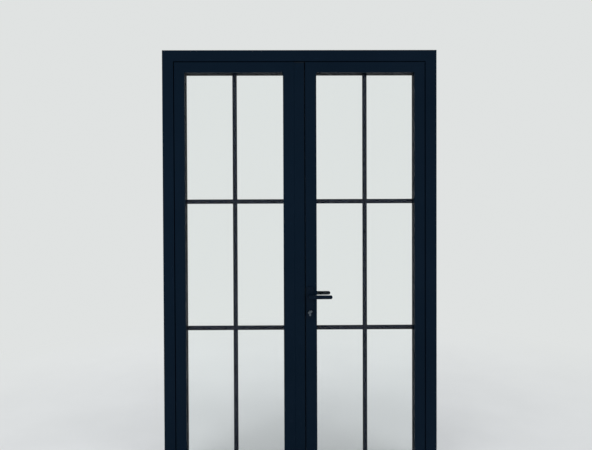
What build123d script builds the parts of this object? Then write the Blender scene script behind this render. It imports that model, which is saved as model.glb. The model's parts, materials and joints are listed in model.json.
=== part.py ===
from build123d import *
import math
import os

# A pair of glazed french doors hung in their own frame.
# X runs to the right as seen from the room, +Y points outdoors and Z is up.
# The origin lies under the middle of the sill, halfway through its depth.
# The left leaf is the passive one and carries the floating mullion.
# The right leaf is the active one and carries the lever handles and the lock.

# Frame
WIDTH = 1500.0
HEIGHT = 2350.0
DEPTH = 60.0
WALL = 2.0
FRAME_FACE = 60.0
SILL_FACE = 40.0
REBATE = 12.0
EDGE_CUT = 0.6
CUT_OVER = 1.0

# Gaps round the closed leaves
FACE_GAP = 5.0
LIP_GAP = 4.0
SEAL_GAP = 5.0
MEETING_GAP = 5.0

# Leaves
HINGE_FACE = 56.0
MEETING_FACE = 61.0
BOTTOM_RAIL = 75.0
LEG = 24.0
BITE = 12.0
GLASS_PLAY = 6.0
MULLION_FACE = 55.0
MULLION_EDGE_CUT = 1.2

# Glass and what holds it
PANE = 4.0
CAVITY = 16.0
GASKET = 3.0
GASKET_WIDTH = 7.5
GASKET_SETBACK = 0.5
BEAD_WALL = 1.5
SPACER_INSET = 5.0
PACKER_LENGTH = 100.0
PACKER_FROM_CORNER = 110.0
BAR_WIDTH = 24.5
BAR_DEPTH = 8.0
BAR_CUT = 2.4
ROWS = 3
COLUMNS = 2

# Corner cleats
CLEAT_LEG = 75.0
CLEAT_DEPTH = 16.0
CLEAT_WALL = 5.0
CLEAT_FIT = 0.2

# Frame seal
SEAL_WIDTH = 7.0
SEAL_FIT = 0.3
SEAL_BORE = 1.3

# Meeting seal on the mullion's edge
MEETING_SEAL_WIDTH = 4.0
MEETING_SEAL_FIT = 0.1
MEETING_SEAL_END_FIT = 0.5
MEETING_SEAL_FROM_OUTSIDE = 8.0

# Hinges
HINGE_HEIGHT = 100.0
HINGE_FROM_END = 200.0
KNUCKLE_RADIUS = 8.0
KNUCKLE_FIT = 0.5
KNUCKLE_SHARE = 0.3
KNUCKLE_END_FIT = 0.2
PIN_RADIUS = 4.0
PIN_FIT = 0.1
PIN_CAP = 3.0
PIN_CAP_RADIUS = 6.5
PIN_CAP_CUT = 1.5
WING_THICKNESS = 4.0
WING_WIDTH = 34.0
WING_CORNER = 4.0
WING_SCREW_INSET = 8.5
HINGE_SCREW_INSET = 17.0

# Countersunk screws
SCREW_RADIUS = 2.5
SCREW_HEAD = 4.8
SCREW_LENGTH = 14.0
KEEP_SCREW_HEAD = 3.4
KEEP_SCREW_CAP = 0.8
SCREW_FIT = 0.05

# Wall anchors through the jambs and the head
ANCHOR_RADIUS = 5.0
ANCHOR_OUTER_SPACING = 1950.0
ANCHOR_INNER_SPACING = 650.0
HEAD_ANCHOR_SPACING = 800.0
ANCHOR_Y = 14.0

# Drain slots in the outdoor wall of the sill and the bottom rails: length, height and spacing
DRAIN_SLOT = (25.0, 5.0)
DRAIN_FROM_END = 150.0
DRAIN_ABOVE = 8.0

# Plugs in the open lip chambers of the active leaf's rails
PLUG_DEPTH = 2.0
PLUG_FIT = 0.2

# Lock set on the active leaf
LEVER_HEIGHT = 1005.0
CYLINDER_DROP = 85.0
BACKSET = 23.0
LOCK_Y = 3.5
CASE_THICKNESS = 14.0
CASE_OVER = 45.0
CASE_WALL = 1.2
CASE_FIT = 0.5
FACEPLATE = (3.0, 18.0, 240.0)
LATCH_SIZE = (10.0, 20.0)
LATCH_THROW = 10.0
LATCH_RISE = 18.0
LATCH_BODY = 22.0
LATCH_BEVEL = 6.0
LATCH_TAIL_RISE = 5.0
LATCH_LUG = 2.4
LATCH_LUG_DROP = 4.25
DEADBOLT_SIZE = (10.0, 26.0)
DEADBOLT_THROW = 20.0
DEADBOLT_DROP = 38.0
DEADBOLT_TAIL = 5.0
BOLT_FIT = 0.3
FOLLOWER_RADIUS = 8.0
FOLLOWER_REACH = 17.0
FOLLOWER_ARM = 4.0
FOLLOWER_LEAN = 20.0
FOLLOWER_DEPTH = 4.0
SPINDLE = 8.0
SPINDLE_FIT = 0.1

# Lever handles
PLATE_WIDTH = 40.0
PLATE_HEIGHT = 176.0
PLATE_THICKNESS = 8.0
PLATE_CORNER = 5.0
PLATE_EDGE = 1.5
PLATE_ABOVE_LEVER = 51.0
NECK_RADIUS = 8.0
NECK_FIT = 0.3
COLLAR_RADIUS = 13.0
COLLAR_STAND = 2.0
LEVER_REACH = 120.0
LEVER_TALL = 18.0
LEVER_THICK = 10.0
LEVER_STAND = 45.0
LEVER_EDGE = 3.0
PLATE_SCREW_INSET = 11.0
PLATE_BOLT_RADIUS = 2.5
PLATE_BOLT_HEAD = 4.5
PLATE_BOLT_SINK = 3.0

# Cylinder and thumbturn
BARREL_RADIUS = 8.5
BARREL_LEG = 10.0
BARREL_DROP = 24.5
BARREL_STAND = 2.0
BARREL_FIT = 0.4
CAM_WIDTH = 10.0
CAM_FIT = 0.4
TURN_SHAFT = 4.0
TURN_COLLAR = 7.5
TURN_FIT = 0.15
TURN_LENGTH = 27.0
TURN_TALL = 12.0
TURN_STAND = 14.0
TURN_TILT = 30.0
KEYWAY = (2.2, 8.0, 12.0)

# Keeps and flush bolts on the mullion's edge
KEEP_THICKNESS = 1.5
KEEP_WIDTH = 18.0
KEEP_OVER = 22.0
KEEP_SCREW_INSET = 11.0
FLUSH_ROD = 4.0
FLUSH_ROD_FIT = 0.3
FLUSH_ROD_INSET = 13.0
FLUSH_TRAVEL = 20.0
FLUSH_LENGTH = 180.0
FLUSH_FROM_END = 40.0
FLUSH_PLATE_WIDTH = 16.0
FLUSH_BOX_WALL = 1.5
FLUSH_SLOT = (8.0, 60.0)
FLUSH_TIP_BACK = 1.0
FLUSH_TIP_CUT = 1.0
FRAME_KEEP_LENGTH = 60.0
FRAME_KEEP_SCREW_INSET = 6.5
CAP_PLATE = 2.0
CAP_SPIGOT = 20.0
CAP_FIT = 0.3
MULLION_SCREWS = 5
MULLION_SCREW_HEAD = 2.5

# Planes through the depth, from the room outwards
INSIDE = -DEPTH / 2
OUTSIDE = DEPTH / 2
LEG_BACK = INSIDE + LEG
SHOULDER = LEG_BACK - SEAL_GAP
GLASS_FRONT = LEG_BACK + GASKET
GLASS_BACK = GLASS_FRONT + 2 * PANE + CAVITY
BEAD_FRONT = GLASS_BACK + GASKET

# Sizes and places worked out from those above
LIP = REBATE + FACE_GAP - LIP_GAP
LEFT = -WIDTH / 2
RIGHT = WIDTH / 2
LEAF_WIDTH = (WIDTH - 2 * FRAME_FACE - 2 * FACE_GAP - MEETING_GAP - MULLION_FACE) / 2
LEAF_BOTTOM = SILL_FACE + FACE_GAP
LEAF_TOP = HEIGHT - FRAME_FACE - FACE_GAP
PASSIVE_HINGE = LEFT + FRAME_FACE + FACE_GAP
PASSIVE_MEETING = PASSIVE_HINGE + LEAF_WIDTH
ACTIVE_HINGE = RIGHT - FRAME_FACE - FACE_GAP
ACTIVE_MEETING = ACTIVE_HINGE - LEAF_WIDTH
MULLION_LEFT = PASSIVE_MEETING
MULLION_RIGHT = MULLION_LEFT + MULLION_FACE
HINGE_AXIS_IN = FRAME_FACE - REBATE + LIP_GAP / 2
HINGE_AXIS_Y = OUTSIDE + KNUCKLE_RADIUS + KNUCKLE_FIT
HINGE_PLACES = [
    LEAF_BOTTOM + HINGE_FROM_END,
    (LEAF_BOTTOM + LEAF_TOP) / 2,
    LEAF_TOP - HINGE_FROM_END,
]
SPINDLE_X = ACTIVE_MEETING + BACKSET
CYLINDER_HEIGHT = LEVER_HEIGHT - CYLINDER_DROP
PLATE_TOP = LEVER_HEIGHT + PLATE_ABOVE_LEVER
PLATE_MIDDLE = PLATE_TOP - PLATE_HEIGHT / 2
LATCH_HEIGHT = LEVER_HEIGHT + LATCH_RISE
DEADBOLT_HEIGHT = LEVER_HEIGHT - DEADBOLT_DROP
CASE_BOTTOM = CYLINDER_HEIGHT - CASE_OVER
CASE_TOP = LEVER_HEIGHT + CASE_OVER
CASE_FRONT = ACTIVE_MEETING + FACEPLATE[0]
CHAMBER_BACK = ACTIVE_MEETING + MEETING_FACE - BITE - GLASS_PLAY - WALL
CASE_DEPTH = CHAMBER_BACK - 2 * CASE_FIT - CASE_FRONT
CASE_BACK = CASE_FRONT + CASE_DEPTH + CASE_FIT
CAM_RADIUS = CASE_FRONT + CASE_DEPTH - CASE_WALL - CAM_FIT - SPINDLE_X
DEADBOLT_BODY = FACEPLATE[0] + CASE_WALL + BOLT_FIT + DEADBOLT_THROW + DEADBOLT_TAIL
FLUSH_X = MULLION_RIGHT - FLUSH_ROD_INSET
LIP_TOP = LEAF_TOP + LIP
LIP_BOTTOM = LEAF_BOTTOM - LIP
HEAD_UNDERSIDE = HEIGHT - FRAME_FACE + REBATE
SILL_TOPSIDE = SILL_FACE - REBATE


def area(u, y):
    """A rectangle between two pairs of limits."""
    return Pos((u[0] + u[1]) / 2, (y[0] + y[1]) / 2) * Rectangle(u[1] - u[0], y[1] - y[0])


def block(x, y, z):
    """A box between three pairs of limits."""
    middle = Pos((x[0] + x[1]) / 2, (y[0] + y[1]) / 2, (z[0] + z[1]) / 2)
    return middle * Box(x[1] - x[0], y[1] - y[0], z[1] - z[0])


def around(middle, size):
    """The limits of a size about its middle."""
    return (middle - size / 2, middle + size / 2)


def rod_x(x, y, z, radius):
    """A round rod along X."""
    middle = Pos((x[0] + x[1]) / 2, y, z) * Rot(0, 90, 0)
    return middle * Cylinder(radius, x[1] - x[0])


def rod_y(x, y, z, radius):
    """A round rod along Y."""
    middle = Pos(x, (y[0] + y[1]) / 2, z) * Rot(90, 0, 0)
    return middle * Cylinder(radius, y[1] - y[0])


def rod_z(x, y, z, radius):
    """A round rod along Z."""
    return Pos(x, y, (z[0] + z[1]) / 2) * Cylinder(radius, z[1] - z[0])


def slab_y(sketch, y):
    """A flat outline drawn in X and Z, given its thickness along Y."""
    face = Plane(origin=(0, y[0], 0), x_dir=(1, 0, 0), z_dir=(0, -1, 0)) * sketch
    return extrude(face, amount=-(y[1] - y[0]))


def ring(outer_x, outer_z, y, width):
    """A rectangular ring lying in the plane of the doors."""
    hole_x = (outer_x[0] + width, outer_x[1] - width)
    hole_z = (outer_z[0] + width, outer_z[1] - width)
    deeper = (y[0] - CUT_OVER, y[1] + CUT_OVER)
    return block(outer_x, y, outer_z) - block(hole_x, deeper, hole_z)


# Extrusions


def frame_section(face):
    """Hollow frame profile with an outdoor rebate that the leaf's lip closes over."""
    front = area((0, face), (INSIDE, SHOULDER))
    back = area((0, face - REBATE), (SHOULDER, OUTSIDE))
    solid = front + back
    solid = chamfer(solid.vertices(), EDGE_CUT)
    front_room = area((WALL, face - WALL), (INSIDE + WALL, SHOULDER - WALL))
    back_room = area((WALL, face - REBATE - WALL), (SHOULDER, OUTSIDE - WALL))
    return solid - front_room - back_room


def rebate_floor(face):
    """Where the glazing rebate starts, measured from the leaf's edge."""
    return face - BITE - GLASS_PLAY


def sash_section(face, lip):
    """Hollow leaf profile: a leg in front of the glass and a box beside it."""
    front = area((0, face), (INSIDE, LEG_BACK))
    back = area((-lip, rebate_floor(face)), (LEG_BACK, OUTSIDE))
    solid = front + back
    solid = chamfer(solid.vertices(), EDGE_CUT)
    front_room = area((WALL, face - WALL), (INSIDE + WALL, LEG_BACK - WALL))
    back_room = area((WALL - lip, rebate_floor(face) - WALL), (LEG_BACK + WALL, OUTSIDE - WALL))
    return solid - front_room - back_room


def bead_section(face):
    """Hollow glazing bead that fills the rebate behind the glass."""
    limits = (rebate_floor(face), face)
    solid = area(limits, (BEAD_FRONT, OUTSIDE))
    solid = chamfer(solid.vertices(), EDGE_CUT)
    room_u = (limits[0] + BEAD_WALL, limits[1] - BEAD_WALL)
    return solid - area(room_u, (BEAD_FRONT + BEAD_WALL, OUTSIDE - BEAD_WALL))


def seal_section():
    """Hollow rubber seal on the frame's shoulder, rounded towards the leaf's lip."""
    start = FRAME_FACE - REBATE + (REBATE - SEAL_WIDTH) / 2
    low = SHOULDER
    high = LEG_BACK - SEAL_FIT
    solid = area((start, start + SEAL_WIDTH), (low, high))
    tips = solid.vertices().group_by(Axis.Y)[-1]
    solid = fillet(tips, (high - low) / 2)
    return solid - Pos(start + SEAL_WIDTH / 2, (low + high) / 2) * Circle(SEAL_BORE)


def prism(points):
    """A cutting prism through the whole depth, from points in X and Z."""
    outline = make_face(Polyline(*points, close=True))
    return slab_y(outline, (-DEPTH, DEPTH))


def seam(corner, inward, steps):
    """The mitre line at a corner, from its outer end to the glass."""
    return [(corner[0] + inward[0] * a, corner[1] + inward[1] * b) for a, b in steps]


def length_of(section, middle, across, along, length, first_seam, last_seam):
    """One length of a profile, cut at both ends along the mitre lines."""
    plane = Plane(origin=middle, x_dir=across, z_dir=along)
    full = extrude(plane * section, amount=length / 2, both=True)
    return full & prism(first_seam + last_seam[::-1])


def four_sides(x, z, sections, seams):
    """Left, right, top and bottom lengths of a mitred rectangle.

    The limits x and z are the rectangle's outer edges. The seams come in the
    order bottom left, bottom right, top right, top left. Each is a pair: the
    steps for the upright and the steps for the rail.
    """
    middle_x = sum(x) / 2
    middle_z = sum(z) / 2
    tall = 2 * (z[1] - z[0])
    wide = 2 * (x[1] - x[0])
    corners = [(x[0], z[0]), (x[1], z[0]), (x[1], z[1]), (x[0], z[1])]
    inward = [(1, 1), (-1, 1), (-1, -1), (1, -1)]
    upright = [seam(c, i, s[0]) for c, i, s in zip(corners, inward, seams)]
    rail = [seam(c, i, s[1]) for c, i, s in zip(corners, inward, seams)]
    left = length_of(sections[0], (x[0], 0, middle_z), (1, 0, 0), (0, 0, 1), tall, upright[0], upright[3])
    right = length_of(sections[1], (x[1], 0, middle_z), (-1, 0, 0), (0, 0, -1), tall, upright[1], upright[2])
    top = length_of(sections[2], (middle_x, 0, z[1]), (0, 0, -1), (1, 0, 0), wide, rail[3], rail[2])
    bottom = length_of(sections[3], (middle_x, 0, z[0]), (0, 0, 1), (-1, 0, 0), wide, rail[0], rail[1])
    return left, right, top, bottom


def both(steps):
    """The same mitre line for the upright and the rail."""
    return (steps, steps)


# Frame


def frame_members():
    top = both([(0, 0), (FRAME_FACE, FRAME_FACE)])
    low = both([(0, 0), (FRAME_FACE - REBATE, SILL_FACE - REBATE), (FRAME_FACE, SILL_FACE)])
    side = frame_section(FRAME_FACE)
    sill = frame_section(SILL_FACE)
    return four_sides((LEFT, RIGHT), (0, HEIGHT), [side, side, side, sill], [low, low, top, top])


def frame_seal():
    """One rubber ring, mitred and bonded at its corners."""
    section = seal_section()
    room = FRAME_FACE - REBATE
    lift = SILL_FACE - FRAME_FACE
    steps = both([(room, room), (FRAME_FACE, FRAME_FACE)])
    sides = four_sides((LEFT, RIGHT), (lift, HEIGHT), [section] * 4, [steps] * 4)
    return sides[0] + sides[1] + sides[2] + sides[3]


def cleat(corner, inward, low, high, y):
    """A hollow L that joins two profiles at a corner, between given limits."""
    x0, z0 = low
    x1, z1 = high
    reach = CLEAT_LEG
    steps = [(x0, z0), (reach, z0), (reach, z1), (x1, z1), (x1, reach), (x0, reach)]
    points = seam(corner, inward, steps)
    outline = make_face(Polyline(*points, close=True))
    hole = offset(outline, -CLEAT_WALL)
    return slab_y(outline - hole, around(sum(y) / 2, CLEAT_DEPTH))


def cleat_end(*depths):
    """How far a cleat reaches into two chambers whose inner walls meet on the mitre line."""
    share = 1 - WALL / min(depths)
    return tuple(depth * share - CLEAT_FIT for depth in depths)


def frame_cleats():
    """Four cleats in the outer chambers of the frame."""
    start = WALL + CLEAT_FIT
    depth = FRAME_FACE - REBATE
    high_end = cleat_end(depth, depth)
    low_end = cleat_end(depth, SILL_FACE - REBATE)
    y = (SHOULDER, OUTSIDE - WALL)
    return [
        cleat((LEFT, 0), (1, 1), (start, start), low_end, y),
        cleat((RIGHT, 0), (-1, 1), (start, start), low_end, y),
        cleat((LEFT, HEIGHT), (1, -1), (start, start), high_end, y),
        cleat((RIGHT, HEIGHT), (-1, -1), (start, start), high_end, y),
    ]


def side_anchor_heights():
    middle = HEIGHT / 2
    spacings = (ANCHOR_OUTER_SPACING, ANCHOR_INNER_SPACING)
    return [middle + sign * spacing / 2 for spacing in spacings for sign in (-1, 1)]


def drill_side_anchors(jamb, side):
    """Anchor holes through a jamb; side is -1 on the left and 1 on the right."""
    start, end = sorted((side * WIDTH / 2, side * (WIDTH / 2 - FRAME_FACE)))
    for height in side_anchor_heights():
        jamb -= rod_x((start, end), ANCHOR_Y, height, ANCHOR_RADIUS)
    return jamb


def drill_head_anchors(head):
    for x in around(0, HEAD_ANCHOR_SPACING):
        head -= rod_z(x, ANCHOR_Y, (HEIGHT - FRAME_FACE, HEIGHT), ANCHOR_RADIUS)
    return head


def drain(member, x, height):
    """Two slots in a member's outdoor wall, near the ends of its clear length."""
    wall = (OUTSIDE - WALL - CUT_OVER, OUTSIDE + CUT_OVER)
    for place in (x[0] + DRAIN_FROM_END, x[1] - DRAIN_FROM_END):
        member -= slab_y(Pos(place, height) * SlotOverall(*DRAIN_SLOT), wall)
    return member


def frame_keep(z):
    """Flat keep plate on the frame for a flush bolt."""
    plate = block(around(FLUSH_X, FRAME_KEEP_LENGTH), around(LOCK_Y, KEEP_WIDTH), z)
    hole_z = grown(z, CUT_OVER)
    plate -= rod_z(FLUSH_X, LOCK_Y, hole_z, FLUSH_ROD + FLUSH_ROD_FIT)
    for x in keep_screw_places():
        plate -= rod_z(x, LOCK_Y, hole_z, SCREW_RADIUS)
    return plate


def keep_screw_places():
    return around(FLUSH_X, FRAME_KEEP_LENGTH - 2 * FRAME_KEEP_SCREW_INSET)


def top_keep_limits():
    return (HEAD_UNDERSIDE - KEEP_THICKNESS, HEAD_UNDERSIDE)


def bottom_keep_limits():
    return (SILL_TOPSIDE, SILL_TOPSIDE + KEEP_THICKNESS)


def drill_frame_keep(member, wall):
    """The flush bolt's hole and the keep's screw holes in a frame member's wall."""
    member -= rod_z(FLUSH_X, LOCK_Y, wall, FLUSH_ROD + FLUSH_ROD_FIT)
    for x in keep_screw_places():
        member -= rod_z(x, LOCK_Y, wall, SCREW_RADIUS)
    return member


def keep_screw(x, z, up):
    """A pan-head screw that holds a frame keep; up is 1 in the head, -1 in the sill."""
    face = z - up * KEEP_THICKNESS
    tip = z + up * (SCREW_LENGTH - KEEP_THICKNESS)
    shank = rod_z(x, LOCK_Y, sorted((face, tip)), SCREW_RADIUS)
    cap = rod_z(x, LOCK_Y, sorted((face, face - up * KEEP_SCREW_CAP)), KEEP_SCREW_HEAD)
    return shank + cap


# Hinges


def hinge_axis_x(side):
    return side * (WIDTH / 2 - HINGE_AXIS_IN)


def knuckle_limits(z):
    """Frame, leaf and frame knuckle limits along one hinge."""
    low = z - HINGE_HEIGHT / 2
    share = HINGE_HEIGHT * KNUCKLE_SHARE
    high = z + HINGE_HEIGHT / 2
    return [
        (low, low + share - KNUCKLE_END_FIT),
        (low + share + KNUCKLE_END_FIT, high - share - KNUCKLE_END_FIT),
        (high - share + KNUCKLE_END_FIT, high),
    ]


def wing_limits(side, outward):
    """X limits of a hinge wing; outward is 1 on the frame's side of the axis, -1 on the leaf's."""
    axis = hinge_axis_x(side)
    near = axis + side * outward * (KNUCKLE_RADIUS + KNUCKLE_FIT)
    far = near + side * outward * WING_WIDTH
    return tuple(sorted((near, far)))


def wing(side, z, outward, own):
    """A hinge wing with the knuckles listed in own."""
    axis = hinge_axis_x(side)
    x = wing_limits(side, outward)
    y = (OUTSIDE, OUTSIDE + WING_THICKNESS)
    plate = block(x, y, around(z, HINGE_HEIGHT))
    far = x[1] if side * outward > 0 else x[0]
    corners = [e for e in plate.edges().filter_by(Axis.Y) if abs(e.center().X - far) < WING_CORNER]
    plate = fillet(corners, WING_CORNER)
    knuckles = knuckle_limits(z)
    near = x[0] if side * outward > 0 else x[1]
    for index in own:
        limits = knuckles[index]
        plate += block(tuple(sorted((axis, near))), y, limits)
        plate += rod_z(axis, HINGE_AXIS_Y, limits, KNUCKLE_RADIUS)
    fit = PIN_FIT if outward < 0 else 0
    plate -= rod_z(axis, HINGE_AXIS_Y, around(z, HINGE_HEIGHT + 2 * CUT_OVER), PIN_RADIUS + fit)
    for screw_x, screw_z in wing_screw_places(side, z, outward):
        plate -= screw_y(screw_x, screw_z, OUTSIDE + WING_THICKNESS, SCREW_FIT)
    return plate


def wing_screw_places(side, z, outward):
    x = wing_limits(side, outward)
    middle = sum(x) / 2
    far = side * outward * (WING_WIDTH / 2 - WING_SCREW_INSET)
    step = HINGE_HEIGHT / 2 - HINGE_SCREW_INSET
    return [(middle + far, z - step), (middle - far, z), (middle + far, z + step)]


def screw_y(x, z, face, fit):
    """A countersunk screw driven along -Y, its head flush with a face."""
    shank = rod_y(x, (face - SCREW_LENGTH, face), z, SCREW_RADIUS)
    depth = SCREW_HEAD - SCREW_RADIUS
    head = Pos(x, face - depth / 2, z) * Rot(-90, 0, 0) * Cone(SCREW_RADIUS, SCREW_HEAD + fit, depth)
    return shank + head


def hinge_pin(side, z):
    """A hinge pin with a cap at each end."""
    axis = hinge_axis_x(side)
    half = HINGE_HEIGHT / 2
    pin = rod_z(axis, HINGE_AXIS_Y, (z - half, z + half), PIN_RADIUS)
    for low, high in ((z - half - PIN_CAP, z - half), (z + half, z + half + PIN_CAP)):
        cap = rod_z(axis, HINGE_AXIS_Y, (low, high), PIN_CAP_RADIUS)
        rim = cap.edges().filter_by(GeomType.CIRCLE).sort_by(Axis.Z)[-1 if high > z else 0]
        pin += chamfer(rim, PIN_CAP_CUT)
    return pin


def drill_hinges(member, side, outward):
    """Screw holes for the three hinges on one side."""
    for z in HINGE_PLACES:
        for screw_x, screw_z in wing_screw_places(side, z, outward):
            deep = (OUTSIDE - SCREW_LENGTH, OUTSIDE)
            member -= rod_y(screw_x, deep, screw_z, SCREW_RADIUS)
    return member


def hinge_screws(side, outward):
    face = OUTSIDE + WING_THICKNESS
    places = [p for z in HINGE_PLACES for p in wing_screw_places(side, z, outward)]
    return [screw_y(x, z, face, 0) for x, z in places]


# Leaves


def leaf_limits(side):
    """X limits of a leaf's room face; side is -1 for the left leaf, 1 for the right."""
    if side < 0:
        return (PASSIVE_HINGE, PASSIVE_MEETING)
    return (ACTIVE_MEETING, ACTIVE_HINGE)


def leaf_faces(side):
    """How wide the left and the right stile of a leaf look from the room."""
    return (HINGE_FACE, MEETING_FACE) if side < 0 else (MEETING_FACE, HINGE_FACE)


def glass_corner(stile, rail):
    """The inner part of a mitre line, from the glazing rebate to the glass."""
    return [(rebate_floor(stile), rebate_floor(rail)), (stile, rail)]


def leaf_members(side):
    """Left stile, right stile, top rail and bottom rail of a leaf."""
    hinge_start = [(-LIP, -LIP), (0, 0)]
    meeting_start = [(0, -LIP), (0, 0)]
    hinge_top = both(hinge_start + glass_corner(HINGE_FACE, HINGE_FACE))
    hinge_low = both(hinge_start + glass_corner(HINGE_FACE, BOTTOM_RAIL))
    top_end = glass_corner(MEETING_FACE, HINGE_FACE)
    low_end = glass_corner(MEETING_FACE, BOTTOM_RAIL)
    meeting_top = (meeting_start[1:] + top_end, meeting_start + top_end)
    meeting_low = (meeting_start[1:] + low_end, meeting_start + low_end)
    hinge_stile = sash_section(HINGE_FACE, LIP)
    meeting_stile = sash_section(MEETING_FACE, 0)
    rails = [sash_section(HINGE_FACE, LIP), sash_section(BOTTOM_RAIL, LIP)]
    if side < 0:
        sections = [hinge_stile, meeting_stile] + rails
        seams = [hinge_low, meeting_low, meeting_top, hinge_top]
    else:
        sections = [meeting_stile, hinge_stile] + rails
        seams = [meeting_low, hinge_low, hinge_top, meeting_top]
    return four_sides(leaf_limits(side), (LEAF_BOTTOM, LEAF_TOP), sections, seams)


def leaf_cleats(side):
    """Four cleats in the outer chambers of a leaf."""
    x = leaf_limits(side)
    fit = WALL + CLEAT_FIT
    y = (LEG_BACK + WALL, OUTSIDE - WALL)
    cleats = []
    for edge, inward, face in zip(x, (1, -1), leaf_faces(side)):
        on_hinge_side = (inward > 0) == (side < 0)
        start = fit - LIP if on_hinge_side else fit
        low = (start, fit - LIP)
        low_end = cleat_end(rebate_floor(face), rebate_floor(BOTTOM_RAIL))
        top_end = cleat_end(rebate_floor(face), rebate_floor(HINGE_FACE))
        cleats.append(cleat((edge, LEAF_BOTTOM), (inward, 1), low, low_end, y))
        cleats.append(cleat((edge, LEAF_TOP), (inward, -1), low, top_end, y))
    return cleats


def rail_plug(up):
    """A plug in the open end of the lip chamber over the meeting stile."""
    end = LEAF_TOP if up > 0 else LEAF_BOTTOM
    y = (LEG_BACK + WALL + PLUG_FIT, OUTSIDE - WALL - PLUG_FIT)
    near = end + up * PLUG_FIT
    far = end + up * (LIP - WALL - PLUG_FIT)
    return block((ACTIVE_MEETING, ACTIVE_MEETING + PLUG_DEPTH), y, sorted((near, far)))


def sight_limits(side):
    """The visible glass: its X and Z limits."""
    x = leaf_limits(side)
    left, right = leaf_faces(side)
    clear_x = (x[0] + left, x[1] - right)
    return clear_x, (LEAF_BOTTOM + BOTTOM_RAIL, LEAF_TOP - HINGE_FACE)


def grown(limits, amount):
    return (limits[0] - amount, limits[1] + amount)


def pane(side, front):
    x, z = sight_limits(side)
    return block(grown(x, BITE), (front, front + PANE), grown(z, BITE))


def spacer(side):
    """The hollow bar that holds the two panes apart, set in from their edges."""
    x, z = sight_limits(side)
    inset = BITE - SPACER_INSET
    y = (GLASS_FRONT + PANE, GLASS_FRONT + PANE + CAVITY)
    return ring(grown(x, inset), grown(z, inset), y, inset)


def glazing_bar(start, end, across):
    """One bar between the panes, with its four long edges cut back."""
    section = Rectangle(BAR_WIDTH, BAR_DEPTH)
    section = chamfer(section.vertices(), BAR_CUT)
    direction = (Vector(end) - Vector(start)).normalized()
    plane = Plane(origin=start, x_dir=across, z_dir=direction)
    return extrude(plane * section, amount=(Vector(end) - Vector(start)).length)


def muntin_grid(side):
    """The grid of bars inside the sealed unit, halved into each other at the crossings."""
    x, z = sight_limits(side)
    y = GLASS_FRONT + PANE + CAVITY / 2
    pitch_x = (x[1] - x[0]) / COLUMNS
    pitch_z = (z[1] - z[0]) / ROWS
    grid = None
    for column in range(1, COLUMNS):
        place = x[0] + column * pitch_x
        bar = glazing_bar((place, y, z[0]), (place, y, z[1]), (1, 0, 0))
        grid = bar if grid is None else grid + bar
    for row in range(1, ROWS):
        place = z[0] + row * pitch_z
        bar = glazing_bar((x[0], y, place), (x[1], y, place), (0, 0, 1))
        grid = bar if grid is None else grid + bar
    return grid


def glazing_gasket(side, front):
    x, z = sight_limits(side)
    outer = GASKET_WIDTH + GASKET_SETBACK
    return ring(grown(x, outer), grown(z, outer), (front, front + GASKET), GASKET_WIDTH)


def beads(side):
    """Four mitred beads round the outdoor side of the glass."""
    left, right = leaf_faces(side)
    corners = [(left, BOTTOM_RAIL), (right, BOTTOM_RAIL), (right, HINGE_FACE), (left, HINGE_FACE)]
    seams = [both(glass_corner(stile, rail)) for stile, rail in corners]
    sections = [bead_section(face) for face in (left, right, HINGE_FACE, BOTTOM_RAIL)]
    return list(four_sides(leaf_limits(side), (LEAF_BOTTOM, LEAF_TOP), sections, seams))


def packers(side):
    """Blocks that carry the glass unit in its rebate."""
    x, z = sight_limits(side)
    edge_x = grown(x, BITE)
    edge_z = grown(z, BITE)
    y = (GLASS_FRONT, GLASS_BACK)
    half = PACKER_LENGTH / 2
    below = (edge_z[0] - GLASS_PLAY, edge_z[0])
    left = (edge_x[0] - GLASS_PLAY, edge_x[0])
    right = (edge_x[1], edge_x[1] + GLASS_PLAY)
    low = around(edge_z[0] + PACKER_FROM_CORNER, PACKER_LENGTH)
    high = around(edge_z[1] - PACKER_FROM_CORNER, PACKER_LENGTH)
    near_left = (edge_x[0] + PACKER_FROM_CORNER - half, edge_x[0] + PACKER_FROM_CORNER + half)
    near_right = (edge_x[1] - PACKER_FROM_CORNER - half, edge_x[1] - PACKER_FROM_CORNER + half)
    hinge_low, meeting_high = (left, right) if side < 0 else (right, left)
    return [
        block(near_left, y, below),
        block(near_right, y, below),
        block(hinge_low, y, low),
        block(meeting_high, y, high),
    ]


# Lock set


def window(size, fit):
    """Thickness and height of a bolt's opening."""
    return size[0] + 2 * fit, size[1] + 2 * fit


def barrel_outline(grow):
    """The cylinder's end view: a round barrel over a narrower leg with a round foot."""
    foot = BARREL_LEG / 2 + grow
    drop = BARREL_DROP - BARREL_LEG / 2
    leg = Pos(0, -drop / 2) * Rectangle(2 * foot, drop)
    return Circle(BARREL_RADIUS + grow) + leg + Pos(0, -drop) * Circle(foot)


def at_cylinder(sketch, y):
    return slab_y(Pos(SPINDLE_X, CYLINDER_HEIGHT) * sketch, y)


def lock_case():
    """The mortice case, hollow, open where the bolts, spindle, cylinder and bolts pass."""
    y = around(LOCK_Y, CASE_THICKNESS)
    x = (CASE_FRONT, CASE_FRONT + CASE_DEPTH)
    z = (CASE_BOTTOM, CASE_TOP)
    case = block(x, y, z)
    case -= block(grown(x, -CASE_WALL), grown(y, -CASE_WALL), grown(z, -CASE_WALL))
    case -= bolt_windows((CASE_FRONT - CUT_OVER, CASE_FRONT + CASE_WALL))
    through = grown(y, CUT_OVER)
    case -= rod_y(SPINDLE_X, through, LEVER_HEIGHT, NECK_RADIUS + NECK_FIT)
    case -= at_cylinder(barrel_outline(BARREL_FIT), through)
    for height in plate_bolt_heights():
        case -= rod_y(SPINDLE_X, through, height, PLATE_BOLT_RADIUS + BOLT_FIT)
    front = (CASE_FRONT, CASE_FRONT + CASE_WALL)
    case -= rod_x(front, LOCK_Y, cylinder_screw_height(), SCREW_RADIUS)
    return case


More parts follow.
